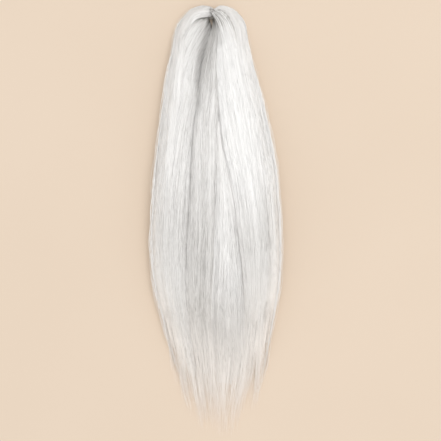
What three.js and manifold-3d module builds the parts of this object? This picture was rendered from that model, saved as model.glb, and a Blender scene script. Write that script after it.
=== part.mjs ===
// A bundle of braiding hair: one hank of loose fibre, folded in half at its middle and laid flat.
// Millimetres, +Z up. The fold is at +Y and the loose tips are at -Y. The origin is on the surface
// that the bundle lies on, under the middle of its box.
//
// The fold's narrow waist carries four falls of hair, which lie side by side. Each fall is a row of
// locks, and every lock is a loft that starts at the fold, runs the length of the fall and ends in a
// point of its own. The locks of one fall overlap, so they are fused into one solid.
import * as THREE from "three";
import Module from "manifold-3d";

const wasm = await Module();
wasm.setup();

// Driving dimensions
const GAP = 0.4; // clear space between two falls that lie side by side
const TIP_HEIGHT = 2.2; // a lock's last few fibres, lying on the surface
const TIP_WIDTH = 1.6;

// The section of one lock, in shares of its half width and of its height
const SECTION_POINTS = 8; // from the edge of its flat foot, over the crown, to the other edge
const BELLY = 0.36; // height of the widest place
const FOOT_ANGLE = -0.95; // where the flat foot starts, in radians below the widest place
const SQUARENESS = 0.72; // 1 is an ellipse, and less is a boxier crown
const LOCK_OVERLAP = 0.16; // of a lock's width, on each side, so that neighbours fuse

// Shares of the way from a fall's last row to a lock's tip, and the size that is left there
const TIP_STEPS = [
  { along: 0.38, size: 0.74 },
  { along: 0.72, size: 0.42 },
];

const HAIR = { color: 0xe6e4e0, roughness: 0.5, metalness: 0 };

function table(columns, rows) {
  return rows.map((row) => Object.fromEntries(columns.map((name, i) => [name, row[i]])));
}

// Rows straight across the bundle. down is measured from the top of the fold. The left fall lies from
// leftEdge to leftPart, the middle one from middleEdge to innerEdge, the inner one from there to
// rightPart, and the right one from there to rightEdge. The crowns are their heights, and the inner
// fall only comes out where its crown is above 0.
const bodyRows = table(
  ["down", "leftEdge", "leftPart", "middleEdge", "innerEdge", "rightPart", "rightEdge",
    "leftCrown", "middleCrown", "innerCrown", "rightCrown"],
  [
    [43, -60.0, -16.5, -9.0, 1.0, 1.0, 45.6, 32.0, 21.0, 0.0, 31.0],
    [66, -63.0, -21.5, -15.0, 1.0, 1.0, 48.8, 36.0, 25.0, 0.0, 34.0],
    [95, -69.5, -25.0, -23.0, 0.5, 1.0, 55.8, 40.0, 30.0, 0.0, 38.0],
    [129, -74.0, -27.0, -26.6, 0.0, 3.0, 65.5, 44.0, 34.0, 20.0, 42.0],
    [163, -78.5, -31.5, -31.1, 0.5, 6.5, 73.0, 47.0, 37.5, 32.0, 45.5],
    [197, -82.6, -34.0, -33.6, 1.5, 9.5, 80.0, 49.5, 40.5, 39.0, 49.0],
    [231, -86.8, -36.0, -35.6, 1.5, 16.5, 86.5, 51.0, 42.5, 44.0, 52.0],
    [266, -89.8, -37.5, -37.1, 1.5, 23.5, 89.0, 50.5, 43.5, 47.5, 54.0],
    [300, -91.6, -39.0, -38.6, 1.5, 28.0, 91.4, 48.0, 43.0, 48.5, 55.0],
    [334, -92.6, -41.0, -40.6, 1.0, 32.0, 92.6, 44.5, 41.0, 47.0, 54.0],
    [368, -91.0, -42.0, -41.6, 0.0, 36.0, 92.4, 40.0, 38.0, 43.0, 49.0],
    [402, -86.6, -41.5, -41.1, -3.0, 39.0, 89.8, 35.0, 34.0, 37.5, 42.0],
    [437, -78.4, -38.5, -38.1, -4.5, 41.0, 84.2, 29.0, 28.5, 31.0, 34.0],
    [471, -69.6, -33.5, -33.1, -3.5, 41.0, 78.2, 22.0, 22.0, 24.0, 26.0],
    [505, -59.0, -27.0, -26.6, -1.0, 39.0, 71.0, 15.0, 15.5, 17.0, 18.0],
  ],
);

// Rows round the fold, from the waist to where the hair turns straight down
const foldColumns = ["outerX", "outerDown", "innerX", "innerDown", "crown"];
const leftFoldRows = table(foldColumns, [
  [-10.4, 3.2, -10.4, 15.0, 19.0],
  [-19.0, 1.0, -11.8, 18.0, 22.5],
  [-33.0, 4.0, -12.6, 21.5, 25.5],
  [-45.6, 14.5, -13.6, 26.0, 28.0],
  [-54.4, 27.0, -15.0, 33.5, 30.0],
]);
const rightFoldRows = table(foldColumns, [
  [-2.4, 3.6, -2.4, 10.5, 19.0],
  [8.5, 0.0, 0.8, 14.0, 22.0],
  [22.0, 3.2, 1.7, 19.0, 25.0],
  [33.2, 12.5, 2.0, 25.0, 27.5],
  [40.8, 26.0, 2.0, 33.0, 29.0],
]);
const middleFoldRows = table(foldColumns, [
  [-4.4, 15.6, 0.0, 15.6, 13.0],
  [-5.2, 28.0, 1.0, 28.0, 17.0],
]);
const waistRows = table(foldColumns, [
  [-10.0, 3.2, -10.0, 15.0, 19.0],
  [-6.4, 5.8, -6.4, 14.2, 16.5],
  [-2.8, 3.6, -2.8, 15.0, 19.0],
]);

// The locks of each fall, from its outer edge to its inner one: where the tip lies, the part of the
// fall's width that the lock takes, and how far it stands above or below the fall's crown
const lockColumns = ["tipX", "tipDown", "width", "lift"];
const leftLocks = table(lockColumns, [
  [-55.5, 528, 0.9, 0.95],
  [-48.0, 562, 1.2, 1.0],
  [-40.5, 575, 0.75, 0.94],
  [-30.0, 580, 1.25, 1.03],
  [-23.5, 592, 0.8, 0.96],
  [-17.5, 600, 1.1, 1.02],
]);
const middleLocks = table(lockColumns, [
  [-12.0, 586, 1.15, 1.0],
  [-6.5, 597, 0.8, 0.95],
  [-3.0, 592, 1.1, 1.03],
  [1.0, 603, 0.95, 0.97],
]);
const innerLocks = table(lockColumns, [
  [8.5, 610, 1.2, 1.0],
  [17.0, 606, 0.9, 0.95],
  [27.0, 600, 0.9, 1.02],
]);
const rightLocks = table(lockColumns, [
  [67.5, 530, 0.85, 0.96],
  [60.5, 560, 1.15, 1.0],
  [54.5, 575, 0.85, 0.95],
  [48.5, 567, 1.3, 1.03],
  [43.0, 576, 0.8, 0.97],
  [35.5, 584, 1.05, 1.02],
]);

// How far a fall's crown drops towards its outer and its inner edge, in shares of its height
const leftDrop = { outer: 0.8, inner: 0.12 };
const middleDrop = { outer: 0.16, inner: 0.1 };
const innerDrop = { outer: 0.1, inner: 0.12 };
const rightDrop = { outer: 0.8, inner: 0.1 };

const LENGTH = Math.max(...innerLocks.map((one) => one.tipDown)); // 610, from fold to longest tip

// Rows as points in plan
function point(x, down) {
  return new THREE.Vector2(x, LENGTH / 2 - down);
}

function foldRow(row) {
  const outer = point(row.outerX, row.outerDown);
  const inner = point(row.innerX, row.innerDown);
  return { outer, inner, crown: row.crown };
}

function bodyRow(row, outerName, innerName, crownName, outerGap, innerGap) {
  const outer = point(row[outerName] + outerGap, row.down);
  const inner = point(row[innerName] + innerGap, row.down);
  return { outer, inner, crown: row[crownName] };
}

// The crown's height at a share of the way across a fall
function domed(crown, share, drop) {
  const side = 2 * share - 1;
  const fallOff = side < 0 ? drop.outer : drop.inner;
  return crown * (1 - fallOff * side * side);
}

// The section of a lock, from one edge of its foot to the other: side from -1 to 1, rise from 0 to 1
function lockSection() {
  const points = [];
  for (let i = 0; i < SECTION_POINTS; i += 1) {
    const angle = FOOT_ANGLE + (i / (SECTION_POINTS - 1)) * (Math.PI - 2 * FOOT_ANGLE);
    const cosine = Math.cos(angle);
    const sine = Math.sin(angle);
    const side = -Math.sign(cosine) * Math.abs(cosine) ** SQUARENESS;
    const above = BELLY + (1 - BELLY) * Math.abs(sine) ** SQUARENESS;
    const below = BELLY * (1 - sine / Math.sin(FOOT_ANGLE));
    points.push({ side, rise: sine > 0 ? above : Math.max(0, below) });
  }
  return points;
}

// One ring of a loft, in a plane that stands on the surface across the hair
function ring(centre, across, halfWidth, height) {
  return lockSection().map(({ side, rise }) => {
    const place = centre.clone().addScaledVector(across, side * halfWidth);
    return new THREE.Vector3(place.x, place.y, rise * height);
  });
}

// A closed solid through rings of equal size, with flat ends
function loft(rings) {
  const count = rings[0].length;
  const vertProperties = new Float32Array(rings.flat().flatMap((p) => [p.x, p.y, p.z]));
  const faces = [];
  for (let r = 0; r + 1 < rings.length; r += 1) {
    for (let i = 0; i < count; i += 1) {
      const next = (i + 1) % count;
      const [a, b] = [r * count + i, r * count + next];
      const [c, d] = [a + count, b + count];
      faces.push(a, b, c, b, d, c);
    }
  }
  const last = (rings.length - 1) * count;
  for (let i = 1; i + 1 < count; i += 1) {
    faces.push(0, i + 1, i, last, last + i, last + i + 1);
  }
  const triVerts = new Uint32Array(faces);
  const solid = new wasm.Manifold(new wasm.Mesh({ numProp: 3, vertProperties, triVerts }));
  if (solid.volume() > 0) return solid;
  triVerts.reverse(); // rings that run from right to left have their faces turned out this way
  return new wasm.Manifold(new wasm.Mesh({ numProp: 3, vertProperties, triVerts }));
}

// Where each lock lies across its fall, as shares of the fall's width
function spread(locks) {
  const total = locks.reduce((sum, one) => sum + one.width, 0);
  let start = 0;
  return locks.map((one) => {
    const share = one.width / total;
    const from = Math.max(0, start - LOCK_OVERLAP * share);
    const to = Math.min(1, start + share + LOCK_OVERLAP * share);
    start += share;
    return { ...one, from, to };
  });
}

// One lock: its share of every row of the fall, then its own way to its tip
function lock(rows, drop, { from, to, lift, tipX, tipDown }) {
  const middle = (from + to) / 2;
  const sections = rows.map(({ outer, inner, crown }) => {
    const span = inner.clone().sub(outer);
    return {
      centre: outer.clone().addScaledVector(span, middle),
      across: span.clone().normalize(),
      halfWidth: (span.length() * (to - from)) / 2,
      height: domed(crown, middle, drop) * lift,
    };
  });
  const end = sections.at(-1);
  const tip = point(tipX, tipDown);
  for (const { along, size } of TIP_STEPS) {
    sections.push({
      centre: end.centre.clone().lerp(tip, along),
      across: end.across,
      halfWidth: end.halfWidth * size,
      height: THREE.MathUtils.lerp(end.height, TIP_HEIGHT, along),
    });
  }
  sections.push({ centre: tip, across: end.across, halfWidth: TIP_WIDTH / 2, height: TIP_HEIGHT });
  return loft(sections.map((s) => ring(s.centre, s.across, s.halfWidth, s.height)));
}

function fall(rows, drop, locks) {
  const lofts = spread(locks).map((one) => lock(rows, drop, one));
  return lofts.reduce((fused, one) => fused.add(one));
}

function waist() {
  const rings = waistRows.map(foldRow).map(({ outer, inner, crown }) => {
    const span = inner.clone().sub(outer);
    const centre = outer.clone().lerp(inner, 0.5);
    return ring(centre, span.clone().normalize(), span.length() / 2, crown);
  });
  return loft(rings);
}

// The four falls
const leftRows = [
  ...leftFoldRows.map(foldRow),
  ...bodyRows.map((row) => bodyRow(row, "leftEdge", "leftPart", "leftCrown", 0, 0)),
];
const middleRows = [
  ...middleFoldRows.map(foldRow),
  ...bodyRows.map((row) => bodyRow(row, "middleEdge", "innerEdge", "middleCrown", 0, -GAP / 2)),
];
const innerRows = bodyRows
  .filter((row) => row.innerCrown > 0)
  .map((row) => bodyRow(row, "innerEdge", "rightPart", "innerCrown", GAP / 2, -GAP / 2));
const rightRows = [
  ...rightFoldRows.map(foldRow),
  ...bodyRows.map((row) => bodyRow(row, "rightEdge", "rightPart", "rightCrown", 0, GAP / 2)),
];

// A named mesh of a solid
function piece(name, solid) {
  const { numProp, vertProperties, triVerts } = solid.getMesh();
  const geometry = new THREE.BufferGeometry();
  geometry.setAttribute("position", new THREE.BufferAttribute(vertProperties, numProp));
  geometry.setIndex(new THREE.BufferAttribute(triVerts, 1));
  geometry.computeVertexNormals();
  const mesh = new THREE.Mesh(geometry, new THREE.MeshStandardMaterial(HAIR));
  mesh.name = name;
  return mesh;
}

const bundle = new THREE.Group();
bundle.add(
  piece("fold_waist", waist()),
  piece("left_fall", fall(leftRows, leftDrop, leftLocks)),
  piece("middle_fall", fall(middleRows, middleDrop, middleLocks)),
  piece("inner_fall", fall(innerRows, innerDrop, innerLocks)),
  piece("right_fall", fall(rightRows, rightDrop, rightLocks)),
);

export default bundle;
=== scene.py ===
# %% [markdown]
# # A bundle of braiding hair
#
# This lesson dresses a bundle of braiding hair: a hank of pale silver fibre, folded in half at its middle
# and laid on a table. The frame holds plain solids for its falls of hair. They say where the hair lies, and
# here each of them is replaced by the fibres themselves, laid as thin tubes along the same falls.

import bpy
import numpy as np
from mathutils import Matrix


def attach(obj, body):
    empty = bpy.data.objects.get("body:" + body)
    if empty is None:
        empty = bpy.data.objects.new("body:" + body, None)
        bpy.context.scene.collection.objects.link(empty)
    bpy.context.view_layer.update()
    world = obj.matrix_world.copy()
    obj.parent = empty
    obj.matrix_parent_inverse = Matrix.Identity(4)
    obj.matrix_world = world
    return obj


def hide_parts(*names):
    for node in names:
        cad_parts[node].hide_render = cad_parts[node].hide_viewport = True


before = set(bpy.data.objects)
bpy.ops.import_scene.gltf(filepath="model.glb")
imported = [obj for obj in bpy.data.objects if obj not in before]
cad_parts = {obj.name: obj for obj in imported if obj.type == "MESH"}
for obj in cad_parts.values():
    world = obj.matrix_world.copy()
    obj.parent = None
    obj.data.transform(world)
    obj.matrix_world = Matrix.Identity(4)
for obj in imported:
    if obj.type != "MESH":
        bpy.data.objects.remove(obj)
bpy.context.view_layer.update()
MM = 0.001
print("solids to dress:", sorted(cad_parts))

# %% [markdown]
# ## Camera
#
# The bundle is seen from straight above, so the camera looks down and its picture's top is +Y. A long lens
# from far away keeps the outline nearly as flat as a plan. Its length follows from the width that the
# picture has to take in, measured at the height where the bundle is widest.

# %% Camera
PICTURE_WIDTH = 628.4 * MM
PICTURE_CENTRE = (6.4 * MM, -1.4 * MM)
WIDEST_HEIGHT = 15 * MM
CAMERA_HEIGHT = 2.4
SENSOR = 36.0

lens = bpy.data.cameras.new("above")
lens.sensor_width = SENSOR
lens.lens = SENSOR * (CAMERA_HEIGHT - WIDEST_HEIGHT) / PICTURE_WIDTH
camera = bpy.data.objects.new("above", lens)
camera.location = (*PICTURE_CENTRE, CAMERA_HEIGHT)
bpy.context.scene.collection.objects.link(camera)
bpy.context.scene.camera = camera
print(f"lens {lens.lens:.1f} mm at {CAMERA_HEIGHT} m")

# %% [markdown]
# ## Shader sums
#
# A material is easier to read as arithmetic than as a list of nodes. This small class wraps one socket, so
# that a + b, 1 + a or a * 2 adds the Math node that does it. Any other node is made by one method, which
# takes the node's type, its settings and what goes into its sockets.

# %% Shader sums
class Wire:
    """One output socket of a material's nodes, for use in sums."""

    def __init__(self, tree, socket=None):
        self.tree = tree
        self.socket = socket

    def make(self, kind, settings=(), inputs=(), output=0):
        """Adds a node, with its settings first and then the values or links of its sockets."""
        node = self.tree.nodes.new(kind)
        for name, value in dict(settings).items():
            if name == "stops":
                set_stops(node.color_ramp, value)
            else:
                setattr(node, name, value)
        for name, value in dict(inputs).items():
            if isinstance(value, Wire):
                self.tree.links.new(value.socket, node.inputs[name])
            else:
                node.inputs[name].default_value = value
        return Wire(self.tree, node.outputs[output])

    def sum(self, operation, first, second):
        return self.make("ShaderNodeMath", {"operation": operation}, {0: first, 1: second})

    def __add__(self, other):
        return self.sum("ADD", self, other)

    def __radd__(self, other):
        return self.sum("ADD", other, self)

    def __mul__(self, other):
        return self.sum("MULTIPLY", self, other)

    def __rmul__(self, other):
        return self.sum("MULTIPLY", other, self)

    def into(self, shader, name):
        """Links this socket to a socket of the shader."""
        self.tree.links.new(self.socket, shader.inputs[name])


def set_stops(ramp, stops):
    """Gives a colour ramp its stops: (position, colour) pairs from low to high."""
    while len(ramp.elements) < len(stops):
        ramp.elements.new(1.0)
    for element, (position, colour) in zip(ramp.elements, stops):
        element.position = position
        element.color = (*colour, 1.0)


def new_material(name):
    """An empty material: its shader, and a Wire to start sums with."""
    material = bpy.data.materials.new(name)
    material.use_nodes = True
    return material, material.node_tree.nodes["Principled BSDF"], Wire(material.node_tree)


print("shader sums ready")

# %% [markdown]
# ## Floor
#
# The bundle lies on a smooth beige surface. It is a stage and not part of the object, so it is one large
# sheet with a faint mottle, wide enough that its edge stays out of every view.

# %% Floor
FLOOR_HALF = 30.0
FLOOR_STOPS = [(0.3, (0.665, 0.546, 0.432)), (0.7, (0.680, 0.561, 0.447))]
FLOOR_ROUGHNESS = 0.8
MOTTLE_SCALE = 3.0


def beige_surface():
    material, shader, wire = new_material("beige_surface")
    place = wire.make("ShaderNodeTexCoord", output="Object")
    mottle = wire.make("ShaderNodeTexNoise", inputs={"Vector": place, "Scale": MOTTLE_SCALE})
    wire.make("ShaderNodeValToRGB", {"stops": FLOOR_STOPS}, {0: mottle}).into(shader, "Base Color")
    shader.inputs["Roughness"].default_value = FLOOR_ROUGHNESS
    return material


corners = [(x * FLOOR_HALF, y * FLOOR_HALF, 0) for x, y in ((-1, -1), (1, -1), (1, 1), (-1, 1))]
sheet = bpy.data.meshes.new("floor")
sheet.from_pydata(corners, [], [(0, 1, 2, 3)])
sheet.materials.append(beige_surface())
floor = bpy.data.objects.new("floor", sheet)
bpy.context.scene.collection.objects.link(floor)
print("floor", 2 * FLOOR_HALF, "m wide")

# %% [markdown]
# ## Light
#
# A large soft lamp hangs nearly overhead, a little to the right and towards the fold, and an even sky fills
# the rest. Hair is brightest where it faces the lamp, so the crowns of the falls are lighter than the sides
# and the hollow between them. What the bundle hides of the sky gives the soft shadow that hugs its edges.

# %% Light
LAMP_PLACE = (0.45, 0.4, 4.1)
LAMP_SIZE = 3.0
LAMP_WATTS = 104.0
SKY_COLOUR = (1.0, 0.99, 0.975)
SKY_STRENGTH = 0.72

lamp_data = bpy.data.lights.new("soft_lamp", "AREA")
lamp_data.size = LAMP_SIZE
lamp_data.energy = LAMP_WATTS
lamp = bpy.data.objects.new("soft_lamp", lamp_data)
lamp.location = LAMP_PLACE
lamp.rotation_euler = (-lamp.location).to_track_quat("-Z", "Y").to_euler()
lamp.visible_camera = False
bpy.context.scene.collection.objects.link(lamp)

sky = bpy.data.worlds.new("sky")
sky.use_nodes = True
sky.node_tree.nodes["Background"].inputs["Color"].default_value = (*SKY_COLOUR, 1.0)
sky.node_tree.nodes["Background"].inputs["Strength"].default_value = SKY_STRENGTH
bpy.context.scene.world = sky
bpy.context.scene.view_settings.view_transform = "Standard"
print(f"lamp {lamp.location.length:.2f} m away")

# %% [markdown]
# ## The finish of the hair
#
# Silver braiding fibre isn't one white: each fibre has its own tone, and along its length it turns and
# catches the light in streaks, which are painted into its colour as streaks of light and shade. Towards the
# tips, where it lies thin on the beige table, light through it makes it look warmer, and that warm light is
# painted in too. The points of the strands carry four numbers for this: the tone, the warmth, the strand's
# number and how far along the strand they lie. Noise that is read at number and distance gives every strand
# streaks of its own, which no pattern in space could do where strands cross.
#
# A strand stands for several fibres, so a fine bump along the bundle draws the lines between them.

# %% The finish of the hair
STREAKS_PER_METRE = 55.0
STRAND_STEP = 7.31
STREAK_DETAIL = 3.0
TONE_PART = 0.45
STREAK_PART = 0.42
LEAST_SHADE = 0.1
SILVER = [
    (0.00, (0.22, 0.205, 0.185)),
    (0.14, (0.56, 0.545, 0.525)),
    (0.28, (0.72, 0.707, 0.69)),
    (0.50, (0.845, 0.836, 0.824)),
    (0.70, (0.90, 0.894, 0.885)),
    (1.00, (0.935, 0.93, 0.92)),
]
# Painted warm light: the tint that light through thin hair on the beige table gives it
WARM_TINT = (1.0, 0.93, 0.865, 1.0)
SMOOTHEST = 0.34
STREAK_ROUGHNESS = 0.26
FIBRE_LINES = (1400.0, 26.0, 1400.0)
LINE_DETAIL = 2.0
LINE_STRENGTH = 0.25
LINE_HEIGHT = 0.3 * MM
GLOSS = 0.4


def number(wire, name):
    """One of the numbers that the points of a strand carry."""
    return wire.make("ShaderNodeAttribute", {"attribute_name": name}, output="Fac")


def silver_hair():
    material, shader, wire = new_material("silver_hair")
    across = number(wire, "strand") * STRAND_STEP
    along = number(wire, "distance") * STREAKS_PER_METRE
    spot = wire.make("ShaderNodeCombineXYZ", inputs={"X": across, "Y": along})
    noise = {"Vector": spot, "Scale": 1.0, "Detail": STREAK_DETAIL}
    streak = wire.make("ShaderNodeTexNoise", inputs=noise)
    # The streaks are painted light and shade, laid over the tone that each strand carries
    shade = number(wire, "tone") * TONE_PART + streak * STREAK_PART + LEAST_SHADE
    silver = wire.make("ShaderNodeValToRGB", {"stops": SILVER}, {0: shade})
    tint = {"data_type": "RGBA", "blend_type": "MULTIPLY"}
    mixed = {0: number(wire, "warm"), 6: silver, 7: WARM_TINT}
    wire.make("ShaderNodeMix", tint, mixed, output=2).into(shader, "Base Color")
    (SMOOTHEST + streak * STREAK_ROUGHNESS).into(shader, "Roughness")
    place = wire.make("ShaderNodeTexCoord", output="Object")
    stretched = wire.make("ShaderNodeVectorMath", {"operation": "MULTIPLY"}, {0: place, 1: FIBRE_LINES})
    noise = {"Vector": stretched, "Scale": 1.0, "Detail": LINE_DETAIL}
    lines = wire.make("ShaderNodeTexNoise", inputs=noise)
    relief = {"Height": lines, "Strength": LINE_STRENGTH, "Distance": LINE_HEIGHT}
    wire.make("ShaderNodeBump", inputs=relief).into(shader, "Normal")
    shader.inputs["Specular IOR Level"].default_value = GLOSS
    return material


hair_finish = silver_hair()
print("finish:", hair_finish.name)

# %% [markdown]
# ## Where the hair lies
#
# The falls are read from rows straight across the bundle, as on a tailor's chart: how far down from the top
# of the fold the row is, where each fall starts and ends on it, and how high its crown stands. They are the
# sizes of the frame's solids, with a few rows more for the wisps at the end.

# %% Rows across the bundle
LENGTH = 610.0
ROW_NAMES = (
    "down left_edge left_part middle_edge inner_edge right_part right_edge "
    "left_crown middle_crown inner_crown right_crown"
).split()
BODY_ROWS = [
    (66, -63.0, -21.5, -15.0, 1.0, 1.0, 48.8, 36.0, 16.0, 12.0, 34.0),
    (95, -69.5, -25.0, -23.0, 0.5, 1.0, 55.8, 40.0, 22.0, 16.0, 38.0),
    (129, -74.0, -27.0, -26.6, 0.0, 3.0, 65.5, 44.0, 29.0, 24.0, 42.0),
    (163, -78.5, -31.5, -31.1, 0.5, 6.5, 73.0, 47.0, 36.0, 33.0, 45.5),
    (197, -82.6, -34.0, -33.6, 1.5, 9.5, 80.0, 49.5, 40.5, 39.5, 49.0),
    (231, -86.8, -36.0, -35.6, 1.5, 16.5, 86.5, 51.0, 42.5, 44.5, 52.0),
    (266, -89.8, -37.5, -37.1, 1.5, 23.5, 89.0, 50.5, 43.5, 47.5, 54.0),
    (300, -91.6, -39.0, -38.6, 1.5, 28.0, 91.4, 48.0, 43.0, 48.5, 55.0),
    (334, -92.6, -41.0, -40.6, 1.0, 32.0, 92.6, 44.5, 41.0, 47.0, 54.0),
    (368, -91.0, -42.0, -41.6, 0.0, 36.0, 92.4, 40.0, 38.0, 43.0, 49.0),
    (402, -86.6, -41.5, -41.1, -3.0, 39.0, 89.8, 35.0, 34.0, 37.5, 42.0),
    (437, -78.4, -38.5, -38.1, -4.5, 41.0, 84.2, 29.0, 28.5, 31.0, 34.0),
    (471, -69.6, -33.5, -33.1, -3.5, 41.0, 78.2, 19.0, 19.0, 21.0, 22.0),
    (505, -59.0, -27.0, -26.6, -1.0, 39.0, 71.0, 10.5, 11.0, 12.0, 12.0),
    (539, -49.0, -22.5, -22.0, 0.5, 36.0, 63.5, 5.0, 5.5, 6.0, 5.5),
    (572, -41.0, -18.0, -17.5, 1.5, 33.0, 57.0, 2.4, 2.8, 3.0, 2.4),
    (612, -33.0, -13.0, -12.5, 3.0, 29.0, 50.0, 1.4, 1.6, 1.6, 1.4),
]
body = np.array(BODY_ROWS, float)


def column(name):
    return body[:, ROW_NAMES.index(name)]


print(len(BODY_ROWS), "rows across")

# %% [markdown]
# ## Sheaves
#
# Round the fold the hair doesn't run straight down: it leaves the pinched waist sideways, arches over two
# humps and then falls. On the left an arch of fibres lies over the locks that come out from under it, and
# on the right a front sheaf lies over a back one. So each fall has one or two sheaves with rows of their
# own round the fold, and then takes its share of the rows above.
#
# A row gives the sheaf's two edges, each with its height, and the crest: how far its middle stands above a
# straight line between them. The flank is how far the hair reaches out past the inner edge on its way down
# to the table. Below 0 it is tucked under.

# %% Rows round the fold
# Columns: outer x, down and height, then inner x, down and height, then crest and flank
FOLD_ROWS = {
    "left_arch": [
        (-2.5, 4.6, 9.0, -3.0, 13.5, 10.0, 1.0, -2),
        (-6.5, 1.9, 14.0, -7.0, 15.6, 16.5, 1.5, -2),
        (-12.0, 0.7, 16.5, -12.5, 17.4, 22.5, 3.0, -2),
        (-20.0, 0.0, 16.0, -19.5, 18.4, 27.5, 4.5, -2),
        (-33.5, 3.6, 12.5, -28.5, 22.0, 29.5, 5.0, -2),
        (-45.8, 14.5, 9.5, -34.5, 31.5, 31.5, 5.0, -2),
        (-54.6, 27.0, 8.0, -39.0, 44.0, 33.0, 5.0, -2),
    ],
    "left_under": [
        (-24.0, 12.0, 17.0, -9.6, 14.0, 14.0, 1.0, -1),
        (-33.0, 18.0, 25.5, -10.8, 19.5, 20.0, 2.0, 2),
        (-40.0, 27.0, 29.5, -13.2, 25.0, 23.5, 4.0, 7),
        (-46.0, 38.0, 32.0, -15.6, 34.0, 24.5, 5.0, 11.5),
        (-48.0, 50.0, 32.0, -19.0, 46.0, 25.0, 5.5, 12.5),
        (-50.5, 66.0, 33.5, -24.0, 66.0, 27.0, 5.5, 10),
        (-56.0, 95.0, 37.0, -28.0, 95.0, 31.0, 5.5, 7),
    ],
    "middle": [
        (-4.2, 16.0, 9.0, 0.5, 15.0, 13.0, 1.0, -1),
        (-5.0, 28.0, 8.0, 4.0, 28.0, 20.0, 0.5, -1),
        (-8.8, 43.0, 7.0, 6.0, 43.0, 22.5, 0.5, -1),
        (-16.6, 66.0, 8.0, 5.2, 66.0, 29.0, 1.5, -1),
        (-25.4, 95.0, 13.0, 6.2, 95.0, 33.0, 2.0, -1),
        (-29.3, 129.0, 21.0, 6.3, 129.0, 36.5, 2.5, -1),
    ],
    "inner": [],
    "right_front": [
        (-9.0, 3.4, 13.0, -11.5, 5.5, 13.0, 0.5, -1),
        (-6.0, 4.6, 20.5, -9.0, 8.5, 20.0, 1.0, -1),
        (-1.5, 5.2, 24.5, -6.2, 12.5, 24.0, 2.0, -1),
        (5.5, 6.2, 26.5, -3.8, 16.5, 24.5, 3.0, -1),
        (13.0, 10.6, 28.0, -1.4, 21.0, 24.0, 4.0, 0),
        (20.0, 18.5, 29.5, 0.6, 28.0, 23.5, 5.5, 1),
        (26.0, 33.0, 31.0, 2.0, 39.0, 23.5, 6.5, 3),
        (30.5, 49.0, 33.0, 2.5, 51.0, 25.5, 6.5, 5),
    ],
    "right_back": [
        (-1.8, 3.7, 14.0, -2.0, 9.5, 14.0, 1.0, -2),
        (3.5, 0.3, 15.0, 4.5, 11.0, 19.5, 2.0, -2),
        (10.0, -0.4, 14.0, 11.0, 14.0, 22.5, 3.0, -2),
        (22.5, 3.0, 11.5, 17.0, 22.0, 26.0, 4.0, -2),
        (33.4, 12.2, 9.0, 20.0, 35.0, 28.5, 5.0, -2),
        (41.0, 26.5, 8.0, 21.5, 50.0, 31.0, 5.5, -2),
    ],
}
# The rows straight across that a sheaf leaves out, because its own rows reach further down
ROWS_LEFT_OUT = {"left_under": 2, "middle": 3, "inner": 2}
print(len(FOLD_ROWS), "sheaves")

# %% [markdown]
# ## From the fold to the tips
#
# Below the fold a sheaf is a strip of its fall. Across a fall the crown drops towards both edges along a
# rounded curve, more on the outer side, where the hair comes down to the table.

# %% All the rows of a sheaf
# Columns: outer edge, inner edge and crown, then how much of the crown is lost at the outer and inner edge
FALLS = {
    "left_fall": ("left_edge", "left_part", "left_crown", 0.5, 0.2),
    "middle_fall": ("middle_edge", "inner_edge", "middle_crown", 0.15, 0.1),
    "inner_fall": ("inner_edge", "right_part", "inner_crown", 0.15, 0.13),
    "right_fall": ("right_edge", "right_part", "right_crown", 0.5, 0.12),
}
DOME_POWER = 2.6
# How far down, and how far out the flank reaches there
FLANKS = {"left_under": ([129, 300], [7, 4]), "right_front": ([66, 129, 470], [6, 10, 7])}
TUCKED = -2.0


def dome(share, outer_drop, inner_drop):
    """A fall's height at a share of the way across, where its crown is 1."""
    side = np.clip(2 * share - 1, -1, 1)
    return 1 - (outer_drop if side < 0 else inner_drop) * abs(side) ** DOME_POWER


def flank(fold):
    """The flanks of a sheaf on the rows straight across."""
    if fold in FLANKS:
        return np.interp(column("down"), *FLANKS[fold])
    return np.full(len(body), TUCKED)


def sheaf_rows(fold, fall, from_share, to_share):
    """All the rows of one sheaf, from the waist to the tips, in metres."""
    outer_name, inner_name, crown_name, *drops = FALLS[fall]
    outer, inner, crown = column(outer_name), column(inner_name), column(crown_name)
    shares = (from_share, (from_share + to_share) / 2, to_share)
    low, middle, high = (crown * dome(share, *drops) for share in shares)
    rows = np.stack(
        [
            outer + (inner - outer) * from_share,
            column("down"),
            low,
            outer + (inner - outer) * to_share,
            column("down"),
            high,
            middle - (low + high) / 2,
            flank(fold),
        ],
        axis=1,
    )
    rows = rows[ROWS_LEFT_OUT.get(fold, 0):]
    rows = np.concatenate([np.array(FOLD_ROWS[fold], float).reshape(-1, rows.shape[1]), rows])
    rows[:, [1, 4]] = LENGTH / 2 - rows[:, [1, 4]]
    return rows * MM


print("a fall drops to its edges along a curve of power", DOME_POWER)

# %% [markdown]
# ## Smooth curves
#
# A strand needs a smooth path, but the rows are far apart. Blender's own curves could join them. Thousands
# of strands are quicker with arrays, so the rows are joined by Hermite curves here: at each row the slope is
# taken from its two neighbours.

# %% Smooth curves
def ease(value):
    """0 below 0, 1 above 1 and a smooth step between."""
    value = np.clip(value, 0, 1)
    return value * value * (3 - 2 * value)


def closing(at, end, length):
    """0 until a length before the end, and then smoothly up to 1 at the end."""
    return ease((at - end) / length + 1)


def smooth(knots, values, at):
    """Reads rows of values between their knots, on a smooth curve through every row."""
    slopes = np.gradient(values, knots, axis=0)
    i = np.clip(np.searchsorted(knots, at, side="right") - 1, 0, len(knots) - 2)
    span = (knots[i + 1] - knots[i])[..., None]
    u = (at - knots[i])[..., None] / span
    start = values[i] + slopes[i] * span * u * (1 - u)
    end = values[i + 1] + slopes[i + 1] * span * (u - 1) * u
    blend = u * u * (3 - 2 * u)
    return start * (1 - blend) + end * blend


print("halfway, a smooth step is at", ease(0.5))

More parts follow.
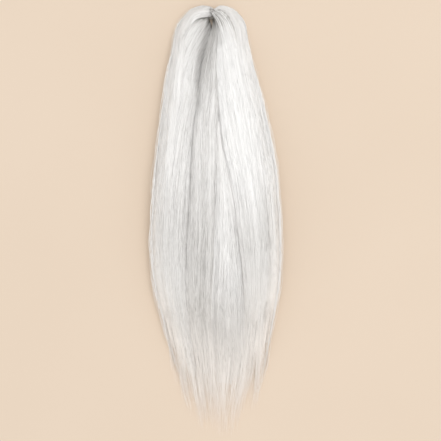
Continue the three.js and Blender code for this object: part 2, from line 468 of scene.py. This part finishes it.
# %% [markdown]
# ## A place on a sheaf
#
# A place is named by three numbers, as a hairdresser might: how far from the fold, what share of the way
# across, and how deep under the surface. A share below 0 or above 1 is past the edge. Where the edge is
# high, the hair rolls down and under there. Where the sheaf is thin, near the tips, it spreads out flat
# instead. The outermost sheaves always come down to the table on their outer side.

# %% A place on a sheaf
ROLL = 0.35
ROLL_TUCK = 6.0 * MM
LOWEST = 0.5 * MM
FLAT_HEIGHT = 14 * MM
LEAN_IN = 0.6
NARROWEST = 0.1 * MM
SHARE_STEP = 0.01
OUTERMOST = ("left_arch", "right_back")


class Sheaf:
    """A sheaf of hair: its rows, and how far from the fold each row lies."""

    def __init__(self, fold, fall, from_share, to_share):
        self.rows = sheaf_rows(fold, fall, from_share, to_share)
        self.outermost = fold in OUTERMOST
        middle = (self.rows[:, 0:2] + self.rows[:, 3:5]) / 2
        steps = np.linalg.norm(np.diff(middle, axis=0), axis=1)
        self.knots = np.concatenate([[0.0], np.cumsum(steps)])

    def length_at(self, down):
        """How far from the fold a row straight across lies."""
        return self.knots[-1] - (column("down")[-1] - down) * MM

    def share_at(self, x, length):
        """Which share of the way across a place is, from its x."""
        rows = smooth(self.knots, self.rows, length)
        return (x * MM - rows[..., 0]) / (rows[..., 3] - rows[..., 0])

    def width(self, length):
        rows = smooth(self.knots, self.rows, length)
        return np.linalg.norm(rows[..., 3:5] - rows[..., 0:2], axis=-1)

    def place(self, length, share, depth):
        """The points at these lengths from the fold, shares of the way across and depths."""
        rows = smooth(self.knots, self.rows, length)
        outer, inner, crest, reach = rows[..., 0:3], rows[..., 3:6], rows[..., 6], rows[..., 7]
        inside = np.clip(share, 0, 1)
        flat = ease(1 - np.where(share < 0.5, outer[..., 2], inner[..., 2]) / FLAT_HEIGHT)
        points = outer + (inner - outer) * inside[..., None]
        points[..., :2] += (inner - outer)[..., :2] * ((share - inside) * flat)[..., None]
        points[..., 2] += crest * 4 * inside * (1 - inside)
        across = inner[..., :2] - outer[..., :2]
        across /= np.maximum(np.linalg.norm(across, axis=-1, keepdims=True), NARROWEST)
        past = np.clip((share - inside) / ROLL, -1, 1)
        under = past * (1 - flat)
        fall = np.where((share < 0) & self.outermost, past, under)
        lean = 2 * inside - 1
        shift = -lean * np.abs(lean) * depth * LEAN_IN
        shift += np.where(under < 0, under * under * ROLL_TUCK, under * reach)
        points[..., :2] += across * shift[..., None]
        points[..., 2] = points[..., 2] * (1 - np.abs(fall)) - depth
        points[..., 2] = np.maximum(points[..., 2], LOWEST)
        return points

    def across(self, length, share, depth):
        """The direction across the sheaf, along its surface."""
        after = self.place(length, share + SHARE_STEP, depth)
        return after - self.place(length, share - SHARE_STEP, depth)


print("sheaves lie flat where they are lower than", FLAT_HEIGHT / MM, "mm")

# %% [markdown]
# ## Tubes
#
# A strand could be a curve with a bevel, but thousands of curves are slow and the finish needs numbers at
# every point. Here the rings of all the tubes of a piece are worked out as one array. Three flat sides are
# enough for a strand that is thinner than a pixel. One side faces up, give or take a small turn, so that
# neighbours catch the light a little differently.

# %% Tubes
SIDES = 3
FLAT_SIDE_UP = np.pi / 6
TUBE_TURN = 0.4


def tubes(paths, across, radii, tones, rng, warm=0.0):
    """Closed tubes along paths, an array of strands by stations by 3, with a flat side along across."""
    strands, stations = paths.shape[:2]
    tangent = np.gradient(paths, axis=1)
    tangent /= np.linalg.norm(tangent, axis=-1, keepdims=True)
    side = across - tangent * np.sum(across * tangent, axis=-1, keepdims=True)
    side /= np.linalg.norm(side, axis=-1, keepdims=True)
    over = np.cross(side, tangent)
    over *= np.where(over[..., 2:] < 0, -1, 1)
    turn = FLAT_SIDE_UP + rng.uniform(-TUBE_TURN, TUBE_TURN, (strands, 1, 1))
    turn = turn + 2 * np.pi * np.arange(SIDES) / SIDES
    spoke = side[:, :, None] * np.cos(turn)[..., None] + over[:, :, None] * np.sin(turn)[..., None]
    points = paths[:, :, None] + spoke * radii[:, :, None, None]
    index = np.arange(strands * stations * SIDES).reshape(strands, stations, SIDES)
    after = np.roll(index, -1, axis=2)
    quads = np.stack([index[:, :-1], after[:, :-1], after[:, 1:], index[:, 1:]], axis=-1)
    steps = np.linalg.norm(np.diff(paths, axis=1), axis=-1)
    distance = np.concatenate([np.zeros((strands, 1)), np.cumsum(steps, axis=1)], axis=1)

    def on_rings(values):
        """A value for each strand or station, repeated for every point."""
        return np.broadcast_to(values, (strands, stations)).repeat(SIDES)

    return {
        "points": points.reshape(-1, 3),
        "quads": quads.reshape(-1, 4),
        "triangles": np.concatenate([index[:, 0, ::-1], index[:, -1]]),
        "tone": on_rings(tones),
        "warm": on_rings(warm),
        "strand": on_rings(np.arange(strands)[:, None]),
        "distance": on_rings(distance),
    }


print("tubes of", SIDES, "sides")

# %% [markdown]
# ## From arrays to a mesh object
#
# Blender can take a whole mesh in a few calls: the points, the corners of all faces one after another, and
# where each face's corners start. The strands' numbers go in as attributes, which the finish reads by name.

# %% From arrays to a mesh object
POINT_NUMBERS = ("tone", "warm", "strand", "distance")


def joined(parts):
    """Several parts as one, with their point indices moved along."""
    starts = np.cumsum([0] + [len(part["points"]) for part in parts[:-1]])
    together = {
        name: np.concatenate([part[name] for part in parts]) for name in ("points", *POINT_NUMBERS)
    }
    for name in ("quads", "triangles"):
        together[name] = np.concatenate([part[name] + start for part, start in zip(parts, starts)])
    return together


def mesh_piece(name, parts, *nodes):
    """One mesh object from parts, which rides on the bundle and stands for these solids."""
    whole = joined(parts)
    quads, triangles = whole["quads"], whole["triangles"]
    mesh = bpy.data.meshes.new(name)
    mesh.vertices.add(len(whole["points"]))
    mesh.vertices.foreach_set("co", whole["points"].astype(np.float32).ravel())
    corners = np.concatenate([quads.ravel(), triangles.ravel()]).astype(np.int32)
    sizes = np.concatenate([np.full(len(quads), 4), np.full(len(triangles), 3)])
    mesh.loops.add(len(corners))
    mesh.loops.foreach_set("vertex_index", corners)
    mesh.polygons.add(len(sizes))
    mesh.polygons.foreach_set("loop_start", (np.cumsum(sizes) - sizes).astype(np.int32))
    mesh.polygons.foreach_set("use_smooth", np.zeros(len(sizes), bool))
    for number_name in POINT_NUMBERS:
        attribute = mesh.attributes.new(number_name, "FLOAT", "POINT")
        attribute.data.foreach_set("value", whole[number_name].astype(np.float32))
    mesh.update(calc_edges=True)
    mesh.materials.append(hair_finish)
    piece = bpy.data.objects.new(name, mesh)
    bpy.context.scene.collection.objects.link(piece)
    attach(piece, "root")
    if nodes:
        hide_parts(*nodes)
    print(f"{name}: {2 * len(quads) + len(triangles)} triangles")


print("every point carries", ", ".join(POINT_NUMBERS))

# %% [markdown]
# ## Locks that wander
#
# Loose hair isn't spread evenly: fibres keep to small locks that wander together. So every sheaf is first
# divided into locks, and each lock into strands. Blender's hair particles clump in much this way, but their
# paths are hard to steer and have to be turned into meshes afterwards. Here locks and strands each wander
# along a sum of a few slow waves with phases of their own. At the fold, where the hair is pinched, they
# hardly wander at all, and there the points of a strand lie closer together to follow the bend.

# %% Locks that wander
STATIONS = 26
FOLD_STATIONS = 9
FOLD_LENGTH = 70 * MM
WAVE_COUNT = 3
WAVE_HEIGHTS = (0.4, 1.0)
LOCK_WAVES = (170 * MM, 420 * MM)
STRAND_WAVES = (80 * MM, 220 * MM)
PINCHED_WANDER = 0.2


def stations_between(starts, ends):
    """Lengths from the fold at each station of each strand, closer together round the fold."""
    near = np.linspace(0, 1, FOLD_STATIONS, endpoint=False)
    far = np.linspace(0, 1, STATIONS - FOLD_STATIONS)
    starts, ends = starts[:, None], ends[:, None]
    return np.concatenate(
        [starts + (FOLD_LENGTH - starts) * near, FOLD_LENGTH + (ends - FOLD_LENGTH) * far], axis=1
    )


def waves(rng, count, lengths, at):
    """For each of count rows, a slow wave along at, with a height of about 1."""
    total = 0
    for _ in range(WAVE_COUNT):
        wavelength = rng.uniform(*lengths, (count, 1))
        phase = rng.uniform(0, 2 * np.pi, (count, 1))
        height = rng.uniform(*WAVE_HEIGHTS, (count, 1))
        total = total + np.sin(2 * np.pi * at / wavelength + phase) * height
    return total / (WAVE_COUNT / 2)


def wander(rng, lock, at, longest, lock_height, strand_height):
    """How far each strand wanders, with its lock and by itself."""
    path = waves(rng, len(at), STRAND_WAVES, at) * strand_height
    lock_at = np.linspace(0, longest, STATIONS)
    slow = waves(rng, lock.max() + 1, LOCK_WAVES, lock_at) * lock_height
    for k in range(len(at)):
        path[k] += np.interp(at[k], lock_at, slow[lock[k]])
    return path * (PINCHED_WANDER + (1 - PINCHED_WANDER) * ease(at / FOLD_LENGTH))


print(STATIONS, "stations on each strand,", FOLD_STATIONS, "of them round the fold")

# %% [markdown]
# ## Wisps
#
# Near the end the locks draw together into a few wisps, each with a tip of its own. A sheaf's wisps divide
# its width by their breadths, and a strand belongs to the wisp in whose part it lies.

# %% Wisps
WISP_LENGTH = 110 * MM
WISP_WIDTH = 0.75
# The tips of each sheaf, from its outer edge to its inner one: x, down and breadth
WISPS = {
    "left_arch": [(-51.0, 546, 1.0), (-43.5, 564, 1.0), (-36.5, 578, 1.1)],
    "left_under": [(-27.5, 590, 0.8), (-23.0, 602, 0.9), (-18.5, 612, 1.4)],
    "middle": [(-11.5, 600, 0.9), (-5.0, 608, 1.2), (0.0, 604, 0.8)],
    "inner": [(7.5, 616, 1.2), (13.0, 620, 1.3), (22.0, 613, 0.9)],
    "right_front": [(52.0, 582, 1.1), (45.5, 577, 0.9), (39.0, 582, 0.9), (31.0, 598, 1.1)],
    "right_back": [(66.5, 538, 0.8), (60.0, 558, 0.9), (53.0, 578, 1.0)],
}


def wisps_of(name):
    """The x, down and breadth of a sheaf's wisps, and the borders between them."""
    x, down, breadth = np.array(WISPS[name], float).T
    return x, down, breadth, np.concatenate([[0], np.cumsum(breadth)]) / breadth.sum()


def draw_to_wisps(sheaf, name, share, at, stray):
    """Moves the shares of strands towards the tips of their wisps."""
    x, down, _, borders = wisps_of(name)
    wisp = np.clip(np.searchsorted(borders, share) - 1, 0, len(x) - 1)
    centre = ((borders[1:] + borders[:-1]) / 2)[wisp]
    end = sheaf.length_at(down)
    target = sheaf.share_at(x, end)[wisp] + (share - centre) * WISP_WIDTH + stray
    return share[:, None] + (target - share)[:, None] * closing(at, end.mean(), WISP_LENGTH)


def wisp_ends(sheaf, name, share):
    """How far from the fold the wisp of each strand ends."""
    _, down, _, borders = wisps_of(name)
    return sheaf.length_at(down[np.searchsorted(borders[1:-1], share)])


print(sum(len(wisps) for wisps in WISPS.values()), "wisps")

# %% [markdown]
# ## How deep strands lie
#
# Where two sheaves overlap, their edges sink into each other, so that no step shows between them. Towards
# the tips the layers of strands lie flatter and flatter, until they are only a few fibres thick.

# %% How deep strands lie
FEATHER_SHARE = 0.2
FEATHER_FROM = 25 * MM
FEATHER_LENGTH = 60 * MM
FLATTER_FROM = 250 * MM
FLATTER_LENGTH = 180 * MM
FLATTEST = 0.15
# How deep a sheaf's outer and inner edge sink into the sheaf beside it
FEATHERS = {
    "left_arch": (0.0, 4.0 * MM),
    "left_under": (4.0 * MM, 0.0),
    "middle": (2.0 * MM, 0.0),
    "inner": (2.5 * MM, 1.0 * MM),
    "right_front": (4.0 * MM, 0.0),
    "right_back": (0.0, 4.0 * MM),
}


def feather(name, share, at):
    """How much deeper a strand lies near the edges that meet another sheaf, away from the fold."""
    outer, inner = FEATHERS[name]
    deeper = outer * ease(1 - share / FEATHER_SHARE) + inner * ease(1 - (1 - share) / FEATHER_SHARE)
    return deeper * ease((at - FEATHER_FROM) / FEATHER_LENGTH)


def flatter(at):
    """How much of its thickness the layer of strands keeps: less towards the tips."""
    return 1 - (1 - FLATTEST) * ease((at - FLATTER_FROM) / FLATTER_LENGTH)


print("at the tips a layer keeps", FLATTEST, "of its thickness")

# %% [markdown]
# ## Tones along a strand
#
# The upper half of the bundle is white, with strands of many tones. From about its middle down the strands
# vary less and are painted darker, as shade, most of all in the recessed middle. Towards the tips and along
# the outer edges light comes through the thin hair, so they are painted paler and warmer there.

# %% Painted shade low down, and paler, warmer tips and edges
MID_TONE = 0.5
WHITEST = 1.05
# Where the lower half begins: its strands vary less there and it is painted darker, as shade
LOWER_HALF_FROM = 200 * MM
LOWER_HALF_LENGTH = 160 * MM
LOWER_HALF_EVENS = 0.55
# How much painted shade darkens the lower half, and how much more round its recessed middle
LOW_SHADE = 0.57
CENTRE = -18 * MM
CENTRE_WIDTH = 30 * MM
CENTRE_SHADE = 0.26
# How much less of the painted shade of the lower half a sheaf gets
LOW_TONES = {"inner": 0.15}
# How much paler the tips are painted, for light through the thin hair
PALE_TIP = 1.1
PALE_LENGTH = 185 * MM
# How much paler the strands are painted along the outer edges, for light through the thin hair, and where
# across the sheaf
PALE_EDGES = {"left_arch": 0.55, "right_back": 0.72}
PALE_AT = 0.2
PALE_SHARE = 0.35
# How far before the tips, and how much along the outer edges, the strands are painted warm for light through
# the thin hair
WARM_LENGTH = 240 * MM
EDGE_WARMTH = 0.6


def lower_half(at):
    """0 on the white upper half, 1 on the lower one, which is painted darker as shade."""
    return ease((at - LOWER_HALF_FROM) / LOWER_HALF_LENGTH)


def base_tones(name, tone, own, at, x):
    """Each strand's own tone and its sheaf's, which the lower half evens out, less the painted shade of the
    lower half, which is deepest round its recessed middle.
    """
    greyer = lower_half(at)
    centre = np.exp(-(((x - CENTRE) / CENTRE_WIDTH) ** 2))
    tones = MID_TONE + own[:, None] * (1 - LOWER_HALF_EVENS * greyer)
    # Painted shade: the lower half, most of all round its recessed middle, is darker
    tones += tone * (1 - greyer) - (LOW_SHADE + CENTRE_SHADE * centre - LOW_TONES.get(name, 0.0)) * greyer
    return np.minimum(tones, WHITEST)


def paler(name, share, at, ends):
    """How much paler a strand is painted near its tip and along an outer edge, for light through the thin
    hair.
    """
    edge = PALE_EDGES.get(name, 0.0) * lower_half(at) * ease(1 - np.abs(share - PALE_AT) / PALE_SHARE)
    return PALE_TIP * closing(at, ends, PALE_LENGTH) + edge


def warmth(name, share, at, ends):
    """How warm a strand is painted near its tip and along an outer edge, for light through the thin hair from
    the beige table.
    """
    tip = closing(at, ends, WARM_LENGTH)
    if name not in PALE_EDGES:
        return tip
    return np.maximum(tip, EDGE_WARMTH * lower_half(at) * ease(1 - share / PALE_SHARE))


print("hair gets dull from", LOWER_HALF_FROM / MM, "mm down")

# %% [markdown]
# ## Shade at the fold
#
# A strand is painted darker where it comes out of the fold, and more so the deeper it lies: this is painted
# shade. The dark streaks of the humps are single strands, so every strand gets a painted darkness of its own.
# Round the eye of the fold all of them are painted dark, and so are those beside a parting, where the next
# sheaf stands over them. Real shadows do part of this, but fibres that let light through one by one shade
# each other more than these thick strands do, and the rest is painted shade.

# %% Shade at the fold
DEEPEST = 4.0 * MM
DEEP_SHADE = 1.2
FOLD_SHADE_LENGTH = 58 * MM
EYE_SHADE_LENGTH = 9 * MM
# How much painted shade a strand may get at the fold, and how much all of them get where they leave it
FOLD_SHADES = {
    "left_arch": (0.55, 0.0),
    "left_under": (0.2, 1.6),
    "middle": (0.5, 1.5),
    "inner": (0.0, 0.0),
    "right_front": (2.7, 0.0),
    "right_back": (1.1, 0.0),
}
# From which share of the way across the strands lie in the shade of the sheaf beside them, and how dark
SIDE_SHADES = {
    "left_arch": (0.72, 0.3),
    "left_under": (0.92, 0.15),
    "inner": (0.58, 0.36),
    "right_back": (0.34, 0.3),
}
SIDE_SHADE_WIDTH = 0.25


def shaded(name, share, at, deep, chance):
    """How much painted shade darkens a strand at the fold, round its eye and beside a parting."""
    fold_shade, eye_shade = FOLD_SHADES[name]
    darker = fold_shade * chance + DEEP_SHADE * deep / DEEPEST
    shade = darker[:, None] * np.exp(-at / FOLD_SHADE_LENGTH)
    shade += eye_shade * np.exp(-at / EYE_SHADE_LENGTH)
    if name in SIDE_SHADES:
        shade_from, side_shade = SIDE_SHADES[name]
        shade += side_shade * flatter(at) * ease((share - shade_from) / SIDE_SHADE_WIDTH)
    return shade


print("the fold's shade fades over", FOLD_SHADE_LENGTH / MM, "mm")

# %% [markdown]
# ## Laying the strands
#
# Fibres don't all reach the tip. Most end earlier, one after another, so the bundle gets thinner and the
# table shows through its last hand's breadth. The ones that end early lie deeper. At the fold the strands of
# two sheaves fan out: they start nearer to the inner edge and move outwards on the way down. A few loose ones
# wander much further than their lock does.

# %% Laying the strands
LOCK_JITTER = 0.3
LOCK_OVERLAP = 2.8
LOCK_WANDER = 1.5 * MM
LOCK_LIFT = 0.3 * MM
STRAND_WANDER = 0.9 * MM
STRAND_LIFT = 0.4 * MM
LOOSE_SHARE = 0.12
LOOSE_WANDER = 2.4
LEAST_WIDTH = 8 * MM
WISP_STRAY = 0.1
STAGGER = 7 * MM
SHORTEST = 320 * MM
SHORT_DEEP = 0.6
DEEP_POWER = 1.5
# How early the shortest strands of a sheaf end, as a share of SHORTEST
SHORTNESS = {
    "left_arch": 0.55,
    "left_under": 0.75,
    "middle": 0.55,
    "inner": 0.38,
    "right_front": 0.75,
    "right_back": 0.55,
}
# How far across its sheaf a strand fans out on its way from the fold, as a share of the width
FANS = {"left_under": 1.6, "right_front": 0.5}
FAN_LENGTH = 90 * MM
FAN_SHIFT = 0.6


def lay_strands(name, sheaf, locks, per_lock, rolls, rng):
    """The lengths from the fold, shares of the way across and depths of a sheaf's strands."""
    count = locks * per_lock
    lock = np.repeat(np.arange(locks), per_lock)
    fan = FANS.get(name, 0.0)
    first = -rolls[0] - FAN_SHIFT * fan
    pitch = (1 + rolls[1] - first) / locks
    middle = np.arange(locks) + 0.5 + rng.uniform(-LOCK_JITTER, LOCK_JITTER, locks)
    offset = rng.uniform(-0.5, 0.5, count) * pitch * LOCK_OVERLAP
    end_share = (first + middle * pitch)[lock] + offset

    ends = wisp_ends(sheaf, name, end_share)
    shortness = rng.uniform(0, 1, count)
    early = SHORTEST * SHORTNESS[name] * shortness
    at = stations_between(rng.uniform(0, STAGGER, count), ends - early)
    stray = rng.normal(0, WISP_STRAY, count)
    share = draw_to_wisps(sheaf, name, end_share, at, stray) + fan * np.exp(-at / FAN_LENGTH)
    loose = 1 + LOOSE_WANDER * (rng.uniform(0, 1, (count, 1)) < LOOSE_SHARE)
    sideways = wander(rng, lock, at, ends.max(), LOCK_WANDER, STRAND_WANDER * loose)
    share += sideways / np.maximum(sheaf.width(at), LEAST_WIDTH)
    chance = rng.uniform(0, 1, count)
    deep = DEEPEST * (SHORT_DEEP * shortness + (1 - SHORT_DEEP) * chance) ** DEEP_POWER
    lift = wander(rng, lock, at, ends.max(), LOCK_LIFT, STRAND_LIFT)
    depth = (deep[:, None] - lift + feather(name, share, at)) * flatter(at)
    return lock, ends[:, None], at, share, deep, depth


print("the deepest strands lie", DEEPEST / MM, "mm under the surface")

# %% [markdown]
# ## Strands
#
# Now the places become tubes. A strand gets thinner towards the tip of its wisp, because fewer and fewer
# fibres are left in it, and it ends in a short taper.

# %% Strands
STRAND_RADIUS = 0.24 * MM
RADIUS_RANGE = (0.75, 1.2)
THINNING = 300 * MM
THINNEST = 0.25
TAPER = 0.6
TAPER_LENGTH = 60 * MM
OWN_TONE = 0.42
LOCK_TONE = 0.08


def strands_of(name, sheaf, locks, per_lock, rolls, tone, seed):
    """The strands of one sheaf, lock by lock."""
    rng = np.random.default_rng(seed)
    lock, ends, at, share, deep, depth = lay_strands(name, sheaf, locks, per_lock, rolls, rng)
    count = len(lock)
    paths = sheaf.place(at, share, depth)
    across = sheaf.across(at, share, depth)
    thin = 1 - (1 - THINNEST) * closing(at, ends, THINNING)
    taper = 1 - TAPER * closing(at, at[:, -1:], TAPER_LENGTH)
    radii = STRAND_RADIUS * rng.uniform(*RADIUS_RANGE, (count, 1)) * thin * taper
    own = rng.uniform(-OWN_TONE, OWN_TONE, count)
    own += rng.uniform(-LOCK_TONE, LOCK_TONE, locks)[lock]
    tones = base_tones(name, tone, own, at, paths[..., 0])
    tones += paler(name, share, at, ends)
    tones -= shaded(name, share, at, deep, rng.uniform(0, 1, count))
    return tubes(paths, across, radii, tones, rng, warmth(name, share, at, ends))


print("strands are about", 2 * STRAND_RADIUS / MM, "mm thick")

# %% [markdown]
# ## A closed body
#
# Only the outer layers of a bundle are seen, so its inside needs no strands. It can be one closed body that
# keeps light from showing through. A grid of points gives its top and another one its foot on the table, and
# each row of the two makes a ring, as in a loft.

# %% A closed body
INSIDE_FLOOR = 0.6 * MM


def closed_body(top, foot, tone, warm):
    """A closed body between two grids of points, along by across, of which the foot is on the table."""
    along, wide = top.shape[:2]
    foot[..., 2] = INSIDE_FLOOR
    rings = np.concatenate([top, foot[:, ::-1]], axis=1)
    index = np.arange(along * 2 * wide).reshape(along, 2 * wide)
    after = np.roll(index, -1, axis=1)
    quads = np.stack([index[:-1], index[1:], after[1:], after[:-1]], axis=-1).reshape(-1, 4)
    first, last = index[0], index[-1]
    start_cap = [(first[i], first[i + 1], first[-2 - i], first[-1 - i]) for i in range(wide - 1)]
    end_cap = [(last[-1 - i], last[-2 - i], last[i + 1], last[i]) for i in range(wide - 1)]
    points = rings.reshape(-1, 3)
    return {
        "points": points,
        "quads": np.concatenate([quads, start_cap, end_cap]),
        "triangles": np.zeros((0, 3), int),
        "tone": np.repeat(tone, 2 * wide),
        "warm": np.repeat(warm, 2 * wide),
        "strand": points[:, 0] / MM,
        "distance": -points[:, 1],
    }


print("inside bodies stand", INSIDE_FLOOR / MM, "mm over the table")

# %% [markdown]
# ## The inside of a sheaf
#
# The inside lies a few millimetres under the strands, on a narrow foot. In the outermost sheaves it follows
# the strands down the outer side. Before the tips, where the real bundle is thin enough to see through, it
# gets narrower, sinks to the table and ends in a slightly ragged edge. Its colour is painted darker, as
# shade, near the fold and on the lower half.

# %% The inside of a sheaf
INSIDE_ACROSS = 12
INSIDE_ALONG = 60
INSIDE_INSET = 0.07
INSIDE_PAST_EDGE = 0.2
INSIDE_DEPTH = 2.8 * MM
INSIDE_FOOT = 0.4
INSIDE_START = 9 * MM
# How long before the tips of its wisps the inside of a sheaf ends
INSIDE_BACK = 74 * MM
OUTERMOST_BACK = 58 * MM
INSIDE_RAGGED = 22 * MM
INSIDE_SINK = 42 * MM
INSIDE_NARROWS = 0.35
INSIDE_TONE = 0.5
INSIDE_FOLD_SHADE = 2.8
INSIDE_LOW_SHADE = 0.45


def inside_of(name, sheaf, seed):
    """The inside of a sheaf, which sinks to the table before the tips and ends in a ragged edge."""
    rng = np.random.default_rng(seed)
    outer, back = INSIDE_INSET, INSIDE_BACK
    if sheaf.outermost:
        outer, back = -INSIDE_PAST_EDGE, OUTERMOST_BACK
    share = np.linspace(outer, 1 - INSIDE_INSET, INSIDE_ACROSS)
    _, down, breadth, borders = wisps_of(name)
    centres = borders[1:] - breadth / 2 / breadth.sum()
    ends = sheaf.length_at(np.interp(share, centres, down))
    last = ends - back - INSIDE_RAGGED * rng.uniform(0, 1, INSIDE_ACROSS)
    at = INSIDE_START + (last - INSIDE_START) * np.linspace(0, 1, INSIDE_ALONG)[:, None]
    share = draw_to_wisps(sheaf, name, share, at.T, 0.0).T
    sink_from = last.min() - INSIDE_SINK
    sink = ease((at - sink_from) / (last - sink_from))
    share = share + (0.5 - share) * INSIDE_NARROWS * sink
    top = sheaf.place(at, share, (INSIDE_DEPTH + feather(name, share, at)) * flatter(at))
    top[..., 2] = np.maximum(top[..., 2] * (1 - sink), 2 * INSIDE_FLOOR)
    foot = sheaf.place(at, 0.5 + (share - 0.5) * INSIDE_FOOT, 0 * at)
    middle = at.mean(axis=1)
    # Painted shade: the inside is darker near the fold and on the lower half
    tone = INSIDE_TONE - INSIDE_FOLD_SHADE * np.exp(-middle / FOLD_SHADE_LENGTH)
    tone -= INSIDE_LOW_SHADE * lower_half(middle)
    return closed_body(top, foot, tone, closing(at, ends, WARM_LENGTH).mean(axis=1))


print("inside bodies stop", OUTERMOST_BACK / MM, "mm or more before the tips")

# %% [markdown]
# ## The six sheaves
#
# Each sheaf is a piece of its own: its inside and its strands. The numbers are the fall it belongs to, from
# which share of that fall to which it reaches, its locks and the strands in each, how far past its outer and
# inner edge they roll, its tone, and the seed of its chances. The tone is partly painted light: the right
# sheaves are painted lighter and the recessed middle darker.

# %% The six sheaves
SHEAVES = {
    "left_arch": ("left_fall", 0.0, 0.58, 16, 55, (0.33, 0.05), 0.1, 11),
    "left_under": ("left_fall", 0.3, 1.0, 22, 56, (0.05, 0.3), -0.2, 12),
    "middle": ("middle_fall", -0.1, 1.1, 20, 54, (0.3, 0.05), -0.35, 13),
    "inner": ("inner_fall", -0.25, 1.35, 16, 54, (0.05, 0.05), -0.1, 14),
    "right_front": ("right_fall", 0.26, 1.0, 22, 56, (0.08, 0.25), 0.7, 15),
    "right_back": ("right_fall", 0.0, 0.56, 16, 55, (0.33, 0.05), 0.7, 16),
}
INSIDE_SEED = 30

for name, (fall, low, high, locks, per_lock, rolls, tone, seed) in SHEAVES.items():
    sheaf = Sheaf(name, fall, low, high)
    hair = strands_of(name, sheaf, locks, per_lock, rolls, tone, seed)
    mesh_piece(f"{name}_hair", [inside_of(name, sheaf, seed + INSIDE_SEED), hair], fall)

# %% [markdown]
# ## The waist of the fold
#
# Between the two humps the fibres are pinched together and run across, from the left side of the bundle to
# the right. They are short strands through the waist, which hide where the sheaves start. A body inside them
# keeps light from the eye of the fold, and it is painted dark for the shade in there: it reaches a little
# further on the side of the eye, over the top of it.

# %% The waist of the fold
WAIST_STRANDS = 90
WAIST_STATIONS = 9
WAIST_TONES = (0.3, 1)
WAIST_REACH = (0.1, 1)
# How far the inside of the waist, painted dark as shade, reaches on the side of the eye and on the other side
EYE_COVER = 1.85
BACK_COVER = 0.8
WAIST_CROWN = 0.5
WAIST_FOOT = 0.65
# Columns: x, down and height of the middle of the waist, then half its width and half its thickness
WAIST_ROWS = np.array(
    [
        (-17.0, 8.5, 16.0, 5.5, 4.0),
        (-11.5, 8.8, 15.0, 4.6, 3.4),
        (-6.4, 10.2, 13.5, 5.2, 2.8),
        (-1.6, 8.6, 15.0, 4.0, 3.2),
        (3.5, 7.0, 16.5, 5.0, 4.0),
    ]
)


def waist_strands(seed):
    """Strands across the waist, spread over its round section."""
    rng = np.random.default_rng(seed)
    at = np.tile(np.linspace(0, len(WAIST_ROWS) - 1, WAIST_STATIONS), (WAIST_STRANDS, 1))
    rows = smooth(np.arange(len(WAIST_ROWS), dtype=float), WAIST_ROWS, at)
    angle = rng.uniform(0, 2 * np.pi, (WAIST_STRANDS, 1))
    reach = np.sqrt(rng.uniform(*WAIST_REACH, (WAIST_STRANDS, 1)))
    x = rows[..., 0]
    y = LENGTH / 2 - rows[..., 1] + rows[..., 3] * reach * np.cos(angle)
    z = rows[..., 2] + rows[..., 4] * reach * np.sin(angle)
    paths = np.stack([x, y, z], axis=-1) * MM
    radii = np.full(paths.shape[:2], STRAND_RADIUS)
    across = np.zeros_like(paths) + (0, 1, 0)
    return tubes(paths, across, radii, rng.uniform(*WAIST_TONES, (WAIST_STRANDS, 1)), rng)


def waist_inside():
    """The inside of the waist, painted a very dark tone for the shade round the eye."""
    side = np.linspace(-1, 1, WAIST_STATIONS)
    rows = WAIST_ROWS[:, None] + 0 * side[:, None]
    y = LENGTH / 2 - rows[..., 1] - rows[..., 3] * side * np.where(side > 0, EYE_COVER, BACK_COVER)
    z = rows[..., 2] + rows[..., 4] * (WAIST_CROWN - side**2)
    top = np.stack([rows[..., 0], y, z], axis=-1) * MM
    centre = top.mean(axis=1, keepdims=True)
    foot = centre + (top - centre) * WAIST_FOOT
    # Painted shade: the inside of the waist gets a very dark tone
    dark = np.full(len(top), INSIDE_TONE - INSIDE_FOLD_SHADE)
    return closed_body(top, foot, dark, np.zeros(len(top)))


WAIST_SEED = 21
mesh_piece("waist_hair", [waist_inside(), waist_strands(WAIST_SEED)], "fold_waist")

# %% [markdown]
# ## Stray hairs
#
# No bundle is combed so well that every fibre stays in. A few thin hairs leave the surface for a while, most
# of them along the outer edges, and soften the outline. They are strands of their own over the same sheaves.

# %% Stray hairs
# Columns: which way along x the hairs stray, where 0 is either way, and how many there are
STRAY_SHEAVES = {
    "left_arch": (-1, 63),
    "right_back": (1, 63),
    "left_under": (0, 31),
    "right_front": (0, 31),
}
STRAY_STATIONS = 22
STRAY_STARTS = (0.01, 0.42)
STRAY_LENGTHS = (0.06, 0.2)
EDGE_SHARES = (0, 0.12)
TOP_SHARES = (0.1, 0.9)
STRAY_WAVES = (90 * MM, 260 * MM)
STRAY_REACH = 3.0 * MM
STRAY_LIFT = 1.2 * MM
STRAY_RADIUS = 0.13 * MM
STRAY_RADIUS_RANGE = (0.7, 1.2)
STRAY_TONES = (0.4, 1)
STRAY_SEED = 31


def stray_hairs(seed):
    """Thin hairs that leave the surface of four sheaves."""
    rng = np.random.default_rng(seed)
    parts = []
    for name, (outward, count) in STRAY_SHEAVES.items():
        fall, low, high = SHEAVES[name][:3]
        sheaf = Sheaf(name, fall, low, high)
        start = rng.uniform(*STRAY_STARTS, (count, 1))
        at = start + rng.uniform(*STRAY_LENGTHS, (count, 1)) * np.linspace(0, 1, STRAY_STATIONS)
        share = rng.uniform(*(EDGE_SHARES if outward else TOP_SHARES), (count, 1))
        sway = waves(rng, count, STRAY_WAVES, at) * STRAY_REACH
        lift = np.abs(waves(rng, count, STRAY_WAVES, at)) * STRAY_LIFT
        paths = sheaf.place(at, share + 0 * at, -lift)
        paths[..., 0] += np.abs(sway) * outward if outward else sway
        radii = STRAY_RADIUS * rng.uniform(*STRAY_RADIUS_RANGE, (count, 1)) + 0 * at
        across = np.zeros_like(paths) + (1, 0, 0)
        parts.append(tubes(paths, across, radii, rng.uniform(*STRAY_TONES, (count, 1)), rng))
    return parts


mesh_piece("stray_hairs", stray_hairs(STRAY_SEED))
